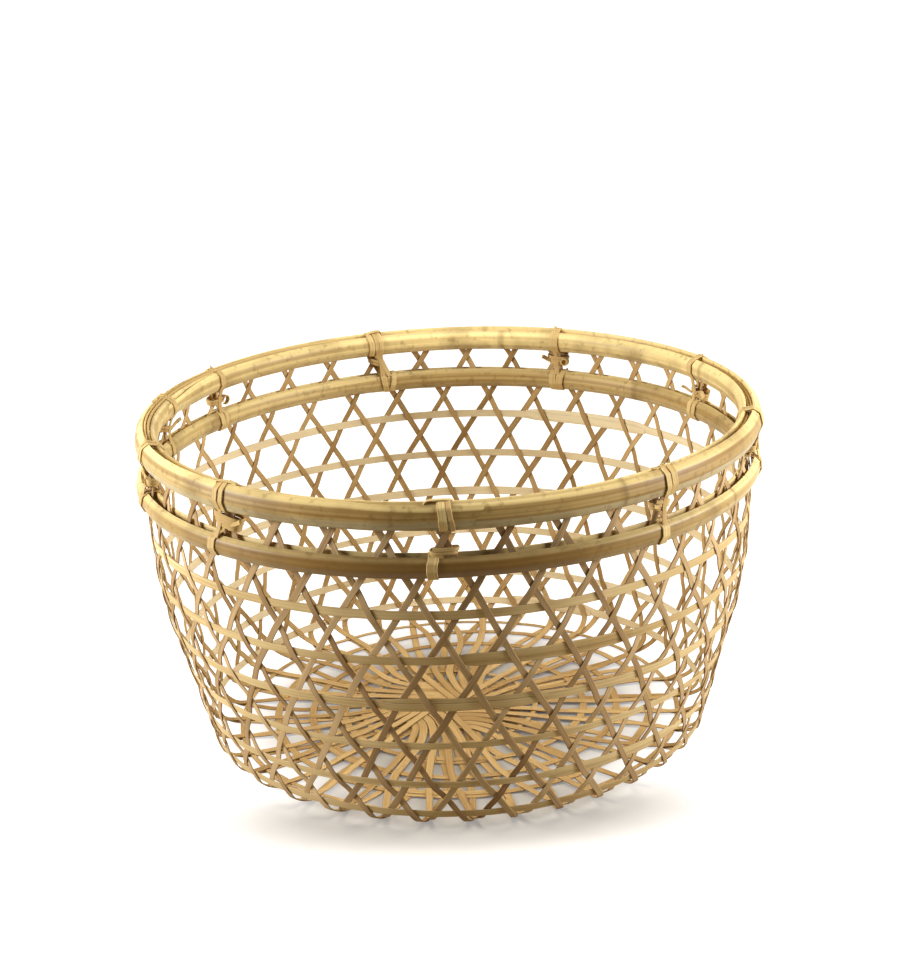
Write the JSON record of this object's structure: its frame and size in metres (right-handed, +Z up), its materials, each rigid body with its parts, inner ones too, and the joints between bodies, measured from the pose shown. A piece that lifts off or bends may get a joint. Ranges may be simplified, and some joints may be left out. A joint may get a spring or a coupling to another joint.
{
  "type": "storage basket",
  "caption": "Round open storage basket of hexagonal bamboo weave, with a star-woven base and a rim of paired half-round hoops bound by lashings.",
  "frame": {"origin": "middle of the base, on the surface that the basket stands on", "axes": "+Z up through the open mouth; -Y towards the side that the picture shows as the front"},
  "size_m": [0.3182, 0.3193, 0.1745],
  "materials": {
    "weave_strip": "split bamboo, matt, tan to grey-brown",
    "splint_ring": "split bamboo, satin, pale straw",
    "hoop_bamboo": "half-round bamboo with its skin on, satin, golden straw",
    "rim_filler": "thin bamboo splints, matt, olive straw",
    "lashing_strip": "thin flat split strip, matt, light straw"
  },
  "bodies": {
    "root": {"weave_strip_01": "weave_strip", "weave_strip_02": "weave_strip", "weave_strip_03": "weave_strip", "weave_strip_04": "weave_strip", "weave_strip_05": "weave_strip", "weave_strip_06": "weave_strip", "weave_strip_07": "weave_strip", "weave_strip_08": "weave_strip", "weave_strip_09": "weave_strip", "weave_strip_10": "weave_strip", "weave_strip_11": "weave_strip", "weave_strip_12": "weave_strip", "weave_strip_13": "weave_strip", "weave_strip_14": "weave_strip", "weave_strip_15": "weave_strip", "weave_strip_16": "weave_strip", "weave_strip_17": "weave_strip", "weave_strip_18": "weave_strip", "weave_strip_19": "weave_strip", "weave_strip_20": "weave_strip", "weave_strip_21": "weave_strip", "weave_strip_22": "weave_strip", "weave_strip_23": "weave_strip", "weave_strip_24": "weave_strip", "weave_strip_25": "weave_strip", "weave_strip_26": "weave_strip", "weave_strip_27": "weave_strip", "weave_strip_28": "weave_strip", "weave_strip_29": "weave_strip", "weave_strip_30": "weave_strip", "weave_strip_31": "weave_strip", "weave_strip_32": "weave_strip", "weave_strip_33": "weave_strip", "weave_strip_34": "weave_strip", "weave_strip_35": "weave_strip", "weave_strip_36": "weave_strip", "wall_ring_1": "splint_ring", "wall_ring_2": "splint_ring", "wall_ring_3": "splint_ring", "wall_ring_4": "splint_ring", "wall_ring_5": "splint_ring", "wall_ring_6": "splint_ring", "base_ring_1": "splint_ring", "base_ring_2": "splint_ring", "base_ring_3": "splint_ring", "rim_outer_hoop": "hoop_bamboo", "rim_inner_hoop": "hoop_bamboo", "lower_outer_hoop": "hoop_bamboo", "lower_inner_hoop": "hoop_bamboo", "rim_filler": "rim_filler", "lashing_01": "lashing_strip", "lashing_02": "lashing_strip", "lashing_03": "lashing_strip", "lashing_04": "lashing_strip", "lashing_05": "lashing_strip", "lashing_06": "lashing_strip", "lashing_07": "lashing_strip", "lashing_08": "lashing_strip", "lashing_09": "lashing_strip", "lashing_10": "lashing_strip"}
  },
  "joints": []
}
